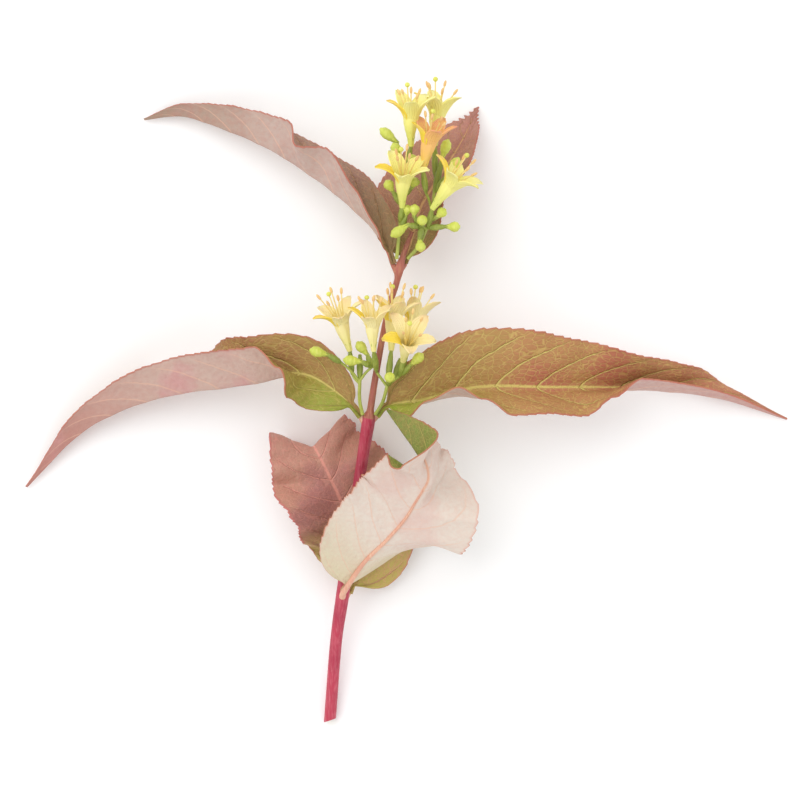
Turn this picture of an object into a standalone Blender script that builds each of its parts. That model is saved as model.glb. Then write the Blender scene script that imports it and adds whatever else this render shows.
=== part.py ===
"""A cut flowering sprig of bush honeysuckle, lying down, with one solid for each sub-part.

Lengths are in millimetres and become metres where a mesh is made. X runs across the sprig,
Y runs up its stem and Z points up from the surface that it lies on.
"""
import math

import bmesh
import bpy
import numpy as np
from mathutils import Quaternion, Vector

MM = 0.001
CENTRE = (-1.9, 1.3, 0.0)  # moves the middle of the sprig's outline over the origin

# Stem: centre line from the cut to the tip, and the radius at each of its points
STEM_PATH = [
    (-21.3, -98.0, 1.85), (-19.2, -72.0, 6.6), (-17.4, -59.4, 9.4), (-11.4, -18.6, 17.6),
    (-9.3, -5.4, 20.0), (-8.9, -3.0, 20.4), (-7.5, 6.0, 21.3), (-3.6, 26.7, 23.2),
    (-0.8, 36.0, 24.0), (-0.3, 39.0, 24.2), (1.2, 44.0, 24.6), (3.6, 50.4, 25.2),
]
STEM_RADII = [1.75, 1.75, 1.95, 1.7, 1.95, 1.0, 0.95, 0.85, 0.9, 1.35, 0.75, 0.55]
STEM_POINTS = 34
CUT_MIDDLE = (-21.1, -96.9, 2.0)
CUT_SLANT = math.radians(19)

# Leaves: shape of the blade that all of them share
STALK_SHARE = 0.04
STALK_HALF_WIDTH = 1.25
KEEL_SHARE = 0.16  # share of the half width over which a fold is rounded
LEAF_THICKNESS = 1.25
LEAF_STATIONS = 24
LEAF_COLUMNS = 3
PATH_SAMPLES = 240

# Each leaf has its midrib, the way its upper side faces at the stalk, the widths of its left and
# right halves, the powers that round its base and draw out its tip, the degrees that its ribs
# lean toward the tip, and the fold of each half: (share of the length, degrees off flat)
LEAVES = {
    "leaf_low_front": dict(
        midrib=[
            (-17.0, -57.6, 13.0), (-10.8, -48.6, 20.8), (-3.6, -41.4, 26.4), (1.8, -35.1, 30.0),
            (4.5, -30.6, 33.5), (6.9, -26.7, 36.3), (8.4, -23.4, 38.0), (7.5, -18.3, 38.5),
            (3.6, -12.6, 36.5), (-0.9, -6.9, 33.0), (-3.9, -3.0, 30.0),
        ],
        up=(0.0, 0.4, -1.0),
        half_widths=(21.0, 20.0),
        powers=(0.5, 1.08),
        sweep=18,
        left=[
            (0, 60), (0.13, 52), (0.26, 38), (0.4, 0), (0.47, 0), (0.55, 68), (0.64, 80),
            (0.78, 60), (1, 40),
        ],
        right=[(0, -15), (0.3, -8), (0.62, -5), (0.68, -60), (0.74, -145), (1, -155)],
        colour=(0.84, 0.75, 0.68),
    ),
    "leaf_low_back": dict(
        midrib=[
            (-15.6, -58.2, 6.7), (-13.6, -53.0, 6.4), (-12.9, -47.0, 7.1), (-14.4, -39.0, 8.6),
            (-17.7, -30.6, 10.9), (-21.0, -23.4, 12.8), (-24.3, -16.8, 13.2), (-25.9, -14.0, 11.4),
            (-24.8, -15.6, 8.0), (-20.0, -23.0, 5.6), (-13.0, -33.0, 4.2),
        ],
        up=(0.0, 0.0, 1.0),
        half_widths=(19.5, 19.5),
        powers=(0.4, 1.1),
        sweep=18,
        left=[
            (0, 10), (0.12, 30), (0.22, 40), (0.32, 48), (0.4, 42), (0.5, 12), (0.6, 25),
            (0.68, 60), (0.75, 0), (1, 0),
        ],
        right=[
            (0, -8), (0.3, -10), (0.45, -22), (0.55, -42), (0.63, -15), (0.68, 20), (0.75, 0), (1, 0),
        ],
        colour=(0.66, 0.49, 0.36),
    ),
    "leaf_mid_left": dict(
        midrib=[
            (-11.7, -4.8, 20.4), (-14.2, -1.8, 21.2), (-19.0, 2.4, 21.3), (-27.0, 7.3, 20.4),
            (-33.0, 8.0, 19.8), (-41.4, 6.3, 18.6), (-51.0, 4.8, 16.6), (-66.0, 2.8, 13.0),
            (-81.0, -1.4, 9.0), (-96.0, -9.3, 5.2), (-113.0, -26.3, 1.4),
        ],
        up=(0.0, 0.0, 1.0),
        half_widths=(15.5, 13.6),
        powers=(0.6, 1.3),
        sweep=18,
        left=[(0, 15), (0.1, 18), (0.15, 45), (0.2, 100), (0.25, 142), (1, 146)],
        right=[(0, 20), (0.2, 24), (0.3, 6), (0.42, -42), (1, -48)],
        colour=(0.79, 0.66, 0.58),
    ),
    "leaf_mid_right": dict(
        midrib=[
            (-6.9, -4.7, 20.4), (-4.2, -1.9, 21.1), (7.0, 0.2, 20.8), (23.4, 3.9, 18.6),
            (45.0, 3.9, 14.8), (60.0, 3.9, 12.0), (78.0, 3.4, 8.4), (97.0, 0.7, 5.0),
            (117.0, -5.8, 1.6),
        ],
        up=(0.0, 0.0, 1.0),
        half_widths=(17.8, 16.0),
        powers=(0.38, 1.2),
        sweep=18,
        left=[
            (0, 10), (0.3, 15), (0.45, 28), (0.6, 40), (0.7, 30), (0.84, -45), (1, -50),
        ],
        right=[
            (0, 30), (0.05, 60), (0.1, 98), (0.15, 106), (0.2, 84), (0.27, 62), (0.36, 66),
            (0.46, 58), (0.52, 84), (0.6, 114), (1, 118),
        ],
        colour=(0.67, 0.55, 0.33),
    ),
    "leaf_top_left": dict(
        midrib=[
            (-2.1, 40.6, 24.4), (-3.6, 45.0, 23.8), (-6.4, 50.0, 22.5), (-14.4, 58.5, 19.2),
            (-27.0, 68.6, 14.8), (-40.5, 76.8, 10.6), (-53.4, 82.2, 7.2), (-66.0, 86.0, 4.0),
            (-77.4, 84.9, 1.4),
        ],
        up=(0.0, 0.0, 1.0),
        half_widths=(13.0, 10.0),
        powers=(0.6, 1.15),
        sweep=18,
        left=[(0, 60), (0.1, 95), (0.2, 112), (0.34, 132), (0.42, 106), (0.5, 144), (1, 150)],
        right=[(0, 10), (0.2, 0), (0.36, -30), (1, -38)],
        colour=(0.77, 0.66, 0.59),
    ),
    "leaf_top_right": dict(
        midrib=[
            (1.4, 40.8, 22.2), (3.3, 47.0, 18.6), (6.3, 57.9, 14.0), (11.1, 66.0, 11.2),
            (15.0, 72.0, 9.2), (18.9, 78.6, 6.4), (21.6, 84.0, 3.2), (23.6, 88.6, 0.8),
        ],
        up=(0.0, 0.0, 1.0),
        half_widths=(16.5, 13.0),
        powers=(0.5, 1.1),
        sweep=18,
        left=[(0, -10), (0.25, -30), (1, -20)],
        right=[(0, 40), (0.3, 68), (0.6, 58), (1, 62)],
        colour=(0.66, 0.52, 0.39),
    ),
}

# Cymes: stalks as paths with the radius at their two ends, bare ovaries as (foot, top), and
# buds as (foot of the ovary, neck, tip of the bud)
CYMES = {
    "cyme_mid_left": dict(
        stalks=[
            ([(-11.2, -4.4, 22.4), (-12.1, 0.0, 23.8), (-12.0, 6.3, 25.4)], 0.55, 0.5),
            ([(-12.1, 5.6, 25.2), (-15.0, 9.0, 27.4), (-17.9, 11.4, 28.8)], 0.42, 0.38),
            ([(-12.2, 5.0, 25.1), (-13.6, 6.6, 25.5), (-14.4, 8.2, 25.7)], 0.42, 0.42),
            ([(-12.0, 5.8, 25.3), (-10.2, 8.2, 26.2), (-8.2, 10.0, 27.2)], 0.42, 0.38),
        ],
        ovaries=[((-12.0, 6.0, 25.3), (-12.0, 13.6, 24.0))],
        buds=[
            ((-17.5, 11.1, 28.6), (-21.6, 13.5, 29.4), (-27.0, 15.0, 30.0)),
            ((-8.4, 9.7, 27.0), (-9.8, 13.6, 27.0), (-12.9, 17.4, 27.2)),
            ((-8.4, 10.0, 27.0), (-11.4, 11.4, 28.9), (-17.0, 12.0, 29.4)),
        ],
    ),
    "cyme_mid_right": dict(
        stalks=[
            ([(-7.4, -4.4, 22.4), (-5.2, -0.6, 24.0), (-3.8, 4.4, 26.0)], 0.55, 0.5),
            ([(-3.9, 4.0, 25.8), (-5.6, 6.4, 26.6), (-7.2, 8.6, 27.3)], 0.42, 0.42),
            ([(-3.9, 4.0, 25.8), (-2.2, 5.6, 26.4), (0.2, 7.4, 26.8)], 0.42, 0.42),
        ],
        ovaries=[((-1.8, 6.0, 26.4), (0.1, 12.4, 24.6))],
        buds=[
            ((-3.4, 4.4, 26.0), (-3.2, 6.4, 29.2), (-3.0, 7.0, 33.4)),
            ((0.0, 7.3, 26.8), (3.3, 10.6, 28.4), (6.9, 13.8, 29.8)),
        ],
    ),
    "cyme_top_left": dict(
        stalks=[
            ([(-1.0, 42.2, 26.1), (-0.4, 48.0, 27.2), (0.2, 53.6, 27.6)], 0.55, 0.5),
            ([(0.0, 52.6, 27.4), (0.7, 60.0, 25.8), (1.5, 68.0, 25.6)], 0.48, 0.45),
            ([(0.9, 62.0, 25.8), (-0.2, 66.5, 26.4), (-0.5, 69.0, 26.8)], 0.4, 0.38),
        ],
        ovaries=[],
        buds=[
            ((1.0, 66.5, 25.6), (-0.9, 77.1, 25.0), (-6.0, 81.3, 24.8)),
            ((-0.4, 68.6, 26.6), (0.0, 72.6, 27.6), (-2.1, 76.8, 28.4)),
            ((1.4, 67.0, 25.7), (3.3, 70.6, 28.0), (3.8, 72.6, 31.0)),
        ],
    ),
    "cyme_top_right": dict(
        stalks=[
            ([(2.3, 42.2, 26.2), (5.5, 46.0, 27.2), (8.2, 51.8, 28.2)], 0.55, 0.5),
            ([(8.0, 51.0, 28.0), (9.6, 57.0, 27.0), (10.6, 67.0, 24.4)], 0.48, 0.45),
            ([(9.4, 57.0, 27.0), (8.6, 60.0, 28.0), (7.6, 62.2, 29.2)], 0.42, 0.4),
            ([(7.8, 51.0, 28.0), (6.4, 51.8, 29.2), (5.2, 51.6, 30.0)], 0.42, 0.4),
        ],
        ovaries=[],
        buds=[
            ((5.6, 51.7, 29.8), (2.4, 52.2, 31.2), (-2.7, 48.8, 31.8)),
            ((6.6, 51.6, 29.0), (6.6, 53.2, 31.0), (6.6, 53.8, 34.2)),
            ((8.0, 51.4, 28.2), (13.8, 51.8, 28.8), (18.0, 51.7, 28.8)),
            ((6.6, 51.9, 29.1), (5.8, 48.0, 30.0), (6.3, 44.2, 30.4)),
            ((10.3, 62.0, 25.6), (12.6, 72.4, 25.8), (14.4, 78.0, 26.0)),
        ],
    ),
}
CYME_COLOUR = (0.62, 0.64, 0.27)
SOLID_GAP = 0.3  # what two touching solids keep between them
OVARY_RADII = (0.4, 0.75, 0.85, 0.7, 0.45)
BUD_RADII = (0.4, 0.75, 1.25, 1.3, 0.85)

# Flowers: the cyme that carries each one, the foot of its ovary, the base of its corolla, the
# way the tube points, its turn about that, its size and how far its lobes bend back
FLOWERS = {
    "flower_mid_1": ("cyme_mid_left", (-14.3, 7.6, 25.6), (-15.0, 14.7, 26.6),
                     (-0.28, 0.92, 0.28), 20, 1.1, 78),
    "flower_mid_2": ("cyme_mid_right", (-7.0, 8.2, 27.1), (-7.8, 14.6, 34.4),
                     (-0.05, 0.93, 0.36), 0, 1.0, 66),
    "flower_mid_3": ("cyme_mid_right", (-3.7, 5.0, 26.2), (-2.6, 14.9, 28.4),
                     (0.06, 0.98, 0.16), 36, 1.12, 56),
    "flower_mid_4": ("cyme_mid_right", (-0.8, 6.4, 26.5), (2.4, 15.0, 23.6),
                     (0.18, 0.97, -0.12), 10, 1.1, 72),
    "flower_mid_5": ("cyme_mid_right", (-0.2, 6.9, 26.7), (0.9, 11.6, 29.6),
                     (0.16, 0.62, 0.77), 30, 1.1, 82),
    "flower_top_1": ("cyme_top_left", (1.6, 66.4, 25.6), (3.3, 75.9, 29.6),
                     (0.0, 0.94, 0.34), 18, 1.12, 66),
    "flower_top_2": ("cyme_top_right", (10.6, 66.0, 24.6), (10.4, 76.2, 23.4),
                     (0.08, 0.98, 0.1), 0, 1.15, 70),
    "flower_top_3": ("cyme_top_right", (7.8, 61.6, 29.0), (6.9, 68.4, 31.4),
                     (0.2, 0.92, 0.32), 30, 1.1, 58),
    "flower_top_4": ("cyme_top_left", (0.1, 52.8, 27.5), (0.6, 57.6, 30.4),
                     (0.05, 0.86, 0.5), 12, 1.15, 76),
    "flower_top_5": ("cyme_top_right", (8.2, 51.4, 28.2), (9.6, 57.0, 31.0),
                     (0.58, 0.76, 0.3), 0, 1.15, 74),
}
PETAL_COLOUR = (0.94, 0.87, 0.5)
TUBE_LENGTH = 7.4
TUBE_RADII = (0.5, 0.62, 0.95, 1.45, 1.75)
LOBES = 5
LOBE_LENGTH = 7.2
LOBE_HALF_WIDTH = 1.5
LOBE_THICKNESS = 0.5
LOBE_START = math.radians(12)
LOBE_UNEVEN = math.radians(12)
STAMEN_LENGTH = 6.6
STAMEN_SPREAD = 1.5
FILAMENT_RADIUS = 0.26
ANTHER_RADIUS = 0.42
STYLE_LENGTH = 9.0
STIGMA_RADIUS = 0.75


def clear_scene():
    """Remove whatever the open file holds, so that the sprig is alone in it."""
    for obj in list(bpy.data.objects):
        bpy.data.objects.remove(obj, do_unlink=True)


def new_collection(name, helper=False):
    """A collection under the scene's own, hidden from renders where it holds helpers."""
    collection = bpy.data.collections.new(name)
    collection.hide_render = helper
    bpy.context.scene.collection.children.link(collection)
    return collection


def plain_material(name, colour, roughness):
    """A Principled material of one colour, given as it looks on a screen."""
    material = bpy.data.materials.new(name)
    material.use_nodes = True
    shader = material.node_tree.nodes["Principled BSDF"]
    shader.inputs["Base Color"].default_value = [channel ** 2.2 for channel in colour] + [1.0]
    shader.inputs["Roughness"].default_value = roughness
    shader.inputs["Metallic"].default_value = 0.0
    return material


def in_place(points):
    """Points of the sprig, in millimetres, as metres in the finished frame."""
    return (np.asarray(points, float) + CENTRE) * MM


def add_object(name, mesh, collection, material=None):
    """An object round a mesh, shaded smooth, in one collection."""
    mesh.shade_smooth()
    obj = bpy.data.objects.new(name, mesh)
    if material:
        mesh.materials.append(material)
    collection.objects.link(obj)
    return obj


def smooth_path(points, count):
    """Evenly spaced points along a smooth curve through the given ones."""
    points = np.array(points, float)
    knots = np.concatenate([[0], np.cumsum(np.linalg.norm(np.diff(points, axis=0), axis=1) ** 0.5)])
    slopes = np.gradient(points, knots, axis=0)
    at = np.linspace(0, knots[-1], 40 * len(points))
    index = np.clip(np.searchsorted(knots, at, side="right") - 1, 0, len(knots) - 2)
    span = (knots[index + 1] - knots[index])[:, None]
    u = (at - knots[index])[:, None] / span
    fine = (
        (1 + 2 * u) * (1 - u) ** 2 * points[index] + u * (1 - u) ** 2 * span * slopes[index]
        + u ** 2 * (3 - 2 * u) * points[index + 1] - u ** 2 * (1 - u) * span * slopes[index + 1]
    )
    run = np.concatenate([[0], np.cumsum(np.linalg.norm(np.diff(fine, axis=0), axis=1))])
    even = np.linspace(0, run[-1], count)
    return np.column_stack([np.interp(even, run, fine[:, axis]) for axis in range(3)])


def eased(stops, at):
    """Values between (place, value) stops, eased so that each stop is reached level."""
    places, values = np.array(stops, float).T
    index = np.clip(np.searchsorted(places, at, side="right") - 1, 0, len(places) - 2)
    u = np.clip((at - places[index]) / (places[index + 1] - places[index]), 0, 1)
    return values[index] + (values[index + 1] - values[index]) * u * u * (3 - 2 * u)


def frames_along(points, up):
    """Unit tangent, upper-side normal and leftward direction at each point of a path."""
    tangents = np.gradient(points, axis=0)
    tangents /= np.linalg.norm(tangents, axis=1)[:, None]
    normals = np.empty_like(points)
    normal = np.array(up, float)
    for index, tangent in enumerate(tangents):
        normal = normal - normal.dot(tangent) * tangent
        normal /= np.linalg.norm(normal)
        normals[index] = normal
    return tangents, normals, np.cross(normals, tangents)


def blade_width(half_width, powers, place):
    """Half width of a leaf along its length: a narrow stalk, then a pointed oval."""
    base, tip = powers
    along = np.clip((place - STALK_SHARE) / (1 - STALK_SHARE), 0, 1)
    peak = base / (base + tip)
    shape = along ** base * (1 - along) ** tip / (peak ** base * (1 - peak) ** tip)
    return STALK_HALF_WIDTH * (1 - 0.6 * place) + half_width * shape


def half_blade(fold, across):
    """How far a half reaches outward and upward, for folds in radians, in half widths."""
    fine = np.linspace(0, 1, 41)
    keel = np.clip(fine / KEEL_SHARE, 0, 1)
    angle = fold[:, None] * (keel * keel * (3 - 2 * keel))[None, :]
    step = fine[1] - fine[0]
    outward = np.cumsum((np.cos(angle[:, 1:]) + np.cos(angle[:, :-1])) / 2 * step, axis=1)
    upward = np.cumsum((np.sin(angle[:, 1:]) + np.sin(angle[:, :-1])) / 2 * step, axis=1)
    pick = np.rint(np.array(across) * 40).astype(int) - 1
    return outward[:, pick], upward[:, pick]


def leaf_grid(leaf, stations, across):
    """Rows of points over a leaf, from the left margin to the right one, stalk to tip."""
    path = smooth_path(leaf["midrib"], PATH_SAMPLES)
    tangents, normals, lefts = frames_along(path, leaf["up"])
    place = np.linspace(0, 1, stations)
    pick = np.rint(place * (PATH_SAMPLES - 1)).astype(int)
    middle, ahead, up, left = path[pick], tangents[pick], normals[pick], lefts[pick]
    sweep = math.radians(leaf["sweep"])
    sides = []
    for name, sign, half_width in zip(("left", "right"), (1, -1), leaf["half_widths"]):
        width = blade_width(half_width, leaf["powers"], place)[:, None, None]
        outward, upward = half_blade(np.radians(eased(leaf[name], place)), across)
        reach = np.cos(sweep) * sign * outward[:, :, None] * left[:, None, :]
        rise = upward[:, :, None] * up[:, None, :]
        lean = np.sin(sweep) * np.array(across)[None, :, None] * ahead[:, None, :]
        lean = lean * np.clip(place / 0.15, 0, 1)[:, None, None]
        sides.append(middle[:, None, :] + width * (reach + rise + lean))
    return np.concatenate([sides[0][:, ::-1], middle[:, None, :], sides[1]], axis=1)


def grid_mesh(name, grid):
    """A mesh of quads through rows of points, facing the upper side."""
    rows, columns = grid.shape[:2]
    faces = []
    for row in range(rows - 1):
        for column in range(columns - 1):
            first = row * columns + column
            faces.append((first, first + 1, first + columns + 1, first + columns))
    mesh = bpy.data.meshes.new(name)
    mesh.from_pydata(grid.reshape(-1, 3).tolist(), [], faces)
    return mesh


def thicken(obj, thickness):
    """Give an open sheet an even thickness, half on each side."""
    solidify = obj.modifiers.new("thickness", "SOLIDIFY")
    solidify.thickness = thickness * MM
    solidify.offset = 0.0


def add_leaf(name, leaf, collection):
    """One leaf: a folded blade on a short stalk, as a sheet with thickness."""
    across = [(column + 1) / LEAF_COLUMNS for column in range(LEAF_COLUMNS)]
    across[0] = KEEL_SHARE
    grid = in_place(leaf_grid(leaf, LEAF_STATIONS, across))
    material = plain_material(name, leaf["colour"], 0.6)
    obj = add_object(name, grid_mesh(name, grid), collection, material)
    thicken(obj, LEAF_THICKNESS)


def tube_mesh(name, points, radii, resolution):
    """A closed tube along points in metres, as thick at each point as its radius there."""
    curve = bpy.data.curves.new(name, "CURVE")
    curve.dimensions = "3D"
    curve.fill_mode = "FULL"
    curve.bevel_depth = MM
    curve.bevel_resolution = resolution
    curve.use_fill_caps = True
    spline = curve.splines.new("POLY")
    spline.points.add(len(points) - 1)
    for spline_point, point, radius in zip(spline.points, points, radii):
        spline_point.co = (*point, 1.0)
        spline_point.radius = radius
    guide = bpy.data.objects.new(name, curve)
    bpy.context.scene.collection.objects.link(guide)
    bpy.context.view_layer.update()
    evaluated = guide.evaluated_get(bpy.context.evaluated_depsgraph_get())
    mesh = bpy.data.meshes.new_from_object(evaluated)
    bpy.data.objects.remove(guide, do_unlink=True)
    weld(mesh)
    return mesh


def weld(mesh):
    """Join the loose caps of a tube to its wall."""
    body = bmesh.new()
    body.from_mesh(mesh)
    bmesh.ops.remove_doubles(body, verts=body.verts, dist=0.01 * MM)
    bmesh.ops.recalc_face_normals(body, faces=body.faces)
    body.to_mesh(mesh)
    body.free()


def along_line(start, end, count):
    """Evenly spaced points from start to end."""
    share = np.linspace(0, 1, count)[:, None]
    return np.array(start) * (1 - share) + np.array(end) * share


def add_stem(collection):
    """The stem: a tapering rod that swells at its nodes, cut across at a slant."""
    path = smooth_path(STEM_PATH, STEM_POINTS)
    knots = smooth_path(STEM_PATH, 400)
    where = [np.argmin(np.linalg.norm(knots - np.array(point), axis=1)) for point in STEM_PATH]
    radii = eased(list(zip(where, STEM_RADII)), np.linspace(0, 399, STEM_POINTS))
    mesh = tube_mesh("stem", in_place(path), radii, 3)
    body = bmesh.new()
    body.from_mesh(mesh)
    bmesh.ops.bisect_plane(
        body,
        geom=body.verts[:] + body.edges[:] + body.faces[:],
        plane_co=in_place(CUT_MIDDLE),
        plane_no=(math.sin(CUT_SLANT), -math.cos(CUT_SLANT), 0.0),
        clear_outer=True,
    )
    bmesh.ops.holes_fill(body, edges=[edge for edge in body.edges if edge.is_boundary])
    body.to_mesh(mesh)
    body.free()
    stem = add_object("stem", mesh, collection, plain_material("stem", (0.74, 0.27, 0.33), 0.5))
    stem.data.set_sharp_from_angle(angle=math.radians(40))


def fuse(name, meshes, collection, material):
    """Join closed meshes into one solid by a single union."""
    helpers = new_collection(name + "_pieces", helper=True)
    base = add_object(name, meshes[0], collection)
    for index, mesh in enumerate(meshes[1:]):
        piece = add_object(f"{name}_piece_{index}", mesh, helpers)
        piece.display_type = "WIRE"
    union = base.modifiers.new("union", "BOOLEAN")
    union.operation = "UNION"
    union.solver = "MANIFOLD"
    union.operand_type = "COLLECTION"
    union.collection = helpers
    bpy.context.view_layer.update()
    evaluated = base.evaluated_get(bpy.context.evaluated_depsgraph_get())
    joined = bpy.data.meshes.new_from_object(evaluated)
    base.modifiers.remove(union)
    base.data = joined
    for piece in list(helpers.objects):
        bpy.data.objects.remove(piece, do_unlink=True)
    bpy.data.collections.remove(helpers)
    joined.materials.clear()
    joined.materials.append(material)
    joined.shade_smooth()
    joined.set_sharp_from_angle(angle=math.radians(50))
    return base


def short_of(foot, top, gap):
    """The point that lies a gap before the top, on the way from the foot."""
    foot, top = np.array(foot), np.array(top)
    return top - (top - foot) / np.linalg.norm(top - foot) * gap


def ovary_mesh(name, foot, top):
    """A slim spindle, thickest a little past its middle."""
    return tube_mesh(name, in_place(along_line(foot, top, len(OVARY_RADII))), OVARY_RADII, 1)


def bud_mesh(name, neck, tip):
    """A club that widens from its neck to a blunt tip."""
    return tube_mesh(name, in_place(along_line(neck, tip, len(BUD_RADII))), BUD_RADII, 1)


def add_cyme(name, cyme, collection, material):
    """One branched stalk with its ovaries and buds; an open flower stands just off its ovary."""
    meshes = []
    for path, start, end in cyme["stalks"]:
        points = smooth_path(path, 5)
        meshes.append(tube_mesh(name, in_place(points), np.linspace(start, end, 5), 1))
    for foot, top in cyme["ovaries"]:
        meshes.append(ovary_mesh(name, foot, top))
    for foot, neck, tip in cyme["buds"]:
        meshes.append(ovary_mesh(name, foot, neck))
        meshes.append(bud_mesh(name, short_of(foot, neck, 0.6), tip))
    for carrier, foot, base, *_ in FLOWERS.values():
        if carrier == name:
            meshes.append(ovary_mesh(name, foot, short_of(foot, base, SOLID_GAP)))
    fuse(name, meshes, collection, material)


def lobe_grid(azimuth, bend, length, half_width):
    """Rows of points over one lobe of the corolla, which curves out and back from the rim."""
    rows = 6
    share = np.linspace(0, 1, rows)
    angle = LOBE_START + (bend - LOBE_START) * share
    step = length / (rows - 1)
    out = np.concatenate([[0], np.cumsum(np.sin((angle[1:] + angle[:-1]) / 2) * step)])
    rise = np.concatenate([[0], np.cumsum(np.cos((angle[1:] + angle[:-1]) / 2) * step)])
    out += TUBE_RADII[-1] - 0.45
    rise += TUBE_LENGTH - 0.5
    width = half_width * np.sqrt(np.clip(1 - (1.6 * share - 0.75) ** 2, 0.1, 1))
    outward = np.array([math.cos(azimuth), math.sin(azimuth), 0.0])
    side = np.array([-math.sin(azimuth), math.cos(azimuth), 0.0])
    middle = out[:, None] * outward + rise[:, None] * np.array([0.0, 0.0, 1.0])
    across = np.array([-1.0, 0.0, 1.0])
    return middle[:, None, :] + (width[:, None] * across)[:, :, None] * side


def lobe_mesh(name, grid):
    """One lobe as a closed sheet of even thickness."""
    holder = bpy.data.objects.new(name, grid_mesh(name, grid * MM))
    bpy.context.scene.collection.objects.link(holder)
    thicken(holder, LOBE_THICKNESS)
    bpy.context.view_layer.update()
    mesh = bpy.data.meshes.new_from_object(
        holder.evaluated_get(bpy.context.evaluated_depsgraph_get())
    )
    bpy.data.objects.remove(holder, do_unlink=True)
    return mesh


def add_flower(name, flower, collection, material, random):
    """One open flower: a flared tube, five lobes bent back, five stamens and a long style."""
    _, _, base, direction, turn, size, bend = flower
    axis = np.array([0.0, 0.0, 1.0])
    levels = along_line((0, 0, 0), axis * TUBE_LENGTH, len(TUBE_RADII))
    meshes = [tube_mesh(name, levels * MM, TUBE_RADII, 1)]
    for lobe in range(LOBES):
        azimuth = lobe * math.tau / LOBES
        uneven = random.uniform(-LOBE_UNEVEN, LOBE_UNEVEN)
        grid = lobe_grid(azimuth, math.radians(bend) + uneven, LOBE_LENGTH, LOBE_HALF_WIDTH)
        meshes.append(lobe_mesh(name, grid))
        meshes.append(stamen_mesh(name, azimuth + math.pi / LOBES, random))
    top = axis * (TUBE_LENGTH + STYLE_LENGTH)
    radii = (0.26, 0.26, 0.3, STIGMA_RADIUS, 0.4)
    reach = (0, 0.6, 0.86, 0.94, 1.0)
    style = [axis * (TUBE_LENGTH - 1) * (1 - share) + top * share for share in reach]
    meshes.append(tube_mesh(name, np.array(style) * MM, radii, 1))
    obj = fuse(name, meshes, collection, material)
    obj.location = in_place(base)
    obj.rotation_mode = "QUATERNION"
    obj.rotation_quaternion = turned(direction, turn)
    obj.scale = (size, size, size)


def turned(direction, turn):
    """The rotation that points +Z along a direction after a turn about +Z, in degrees."""
    spin = Quaternion((0.0, 0.0, 1.0), math.radians(turn))
    return Vector(direction).to_track_quat("Z", "Y") @ spin


def stamen_mesh(name, azimuth, random):
    """One stamen: a thread that leans outward from the throat and ends in a long anther."""
    length = STAMEN_LENGTH * random.uniform(0.8, 1.1)
    spread = STAMEN_SPREAD + random.uniform(0.0, 0.8)
    outward = np.array([math.cos(azimuth), math.sin(azimuth), 0.0])
    foot = outward * 0.7 + np.array([0.0, 0.0, TUBE_LENGTH - 0.8])
    tip = outward * spread + np.array([0.0, 0.0, TUBE_LENGTH + length])
    radii = (FILAMENT_RADIUS, FILAMENT_RADIUS, ANTHER_RADIUS, ANTHER_RADIUS * 0.6)
    points = [foot * (1 - share) + tip * share for share in (0, 0.62, 0.75, 1.0)]
    return tube_mesh(name, np.array(points) * MM, radii, 0)


def build():
    """Make every sub-part of the sprig."""
    clear_scene()
    sprig = new_collection("bush_honeysuckle_sprig")
    add_stem(sprig)
    for name, leaf in LEAVES.items():
        add_leaf(name, leaf, sprig)
    green = plain_material("cyme", CYME_COLOUR, 0.55)
    for name, cyme in CYMES.items():
        add_cyme(name, cyme, sprig, green)
    yellow = plain_material("petal", PETAL_COLOUR, 0.5)
    random = np.random.default_rng(7)
    for name, flower in FLOWERS.items():
        add_flower(name, flower, sprig, yellow, random)


build()
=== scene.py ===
# %% [markdown]
# A cut flowering sprig of bush honeysuckle, lying on a white table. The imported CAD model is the
# frame: every leaf, stalk and flower here is grown again by the same rule, much finer. The solids
# could be smoothed instead, but a blade that thick would never look like a leaf.

# %% Set-up
import math
from functools import partialmethod

import bmesh
import bpy
import numpy as np
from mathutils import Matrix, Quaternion, Vector


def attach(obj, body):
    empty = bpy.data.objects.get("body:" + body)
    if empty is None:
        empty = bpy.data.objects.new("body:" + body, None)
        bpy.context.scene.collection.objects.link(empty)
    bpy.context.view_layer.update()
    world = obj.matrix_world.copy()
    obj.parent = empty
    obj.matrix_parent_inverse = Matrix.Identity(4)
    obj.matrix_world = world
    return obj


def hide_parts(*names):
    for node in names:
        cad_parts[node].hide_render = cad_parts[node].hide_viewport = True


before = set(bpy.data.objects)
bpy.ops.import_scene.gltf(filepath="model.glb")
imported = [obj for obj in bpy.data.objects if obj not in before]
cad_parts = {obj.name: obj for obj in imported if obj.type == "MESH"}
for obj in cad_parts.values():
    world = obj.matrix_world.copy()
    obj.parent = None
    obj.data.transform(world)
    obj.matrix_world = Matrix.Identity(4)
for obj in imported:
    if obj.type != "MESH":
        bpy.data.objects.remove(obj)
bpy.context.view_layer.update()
MM = 0.001
CENTRE = np.array([-1.9, 1.3, 0.0])  # moves the middle of the sprig over the origin

# %% [markdown]
# The stem of this shrub is a thin red shoot that swells at each node, where a pair of leaves
# stands. A list of points with a radius each describes it. A bevelled curve would do as well, but
# the list keeps the swellings as plain sizes. All points are in millimetres.

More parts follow.
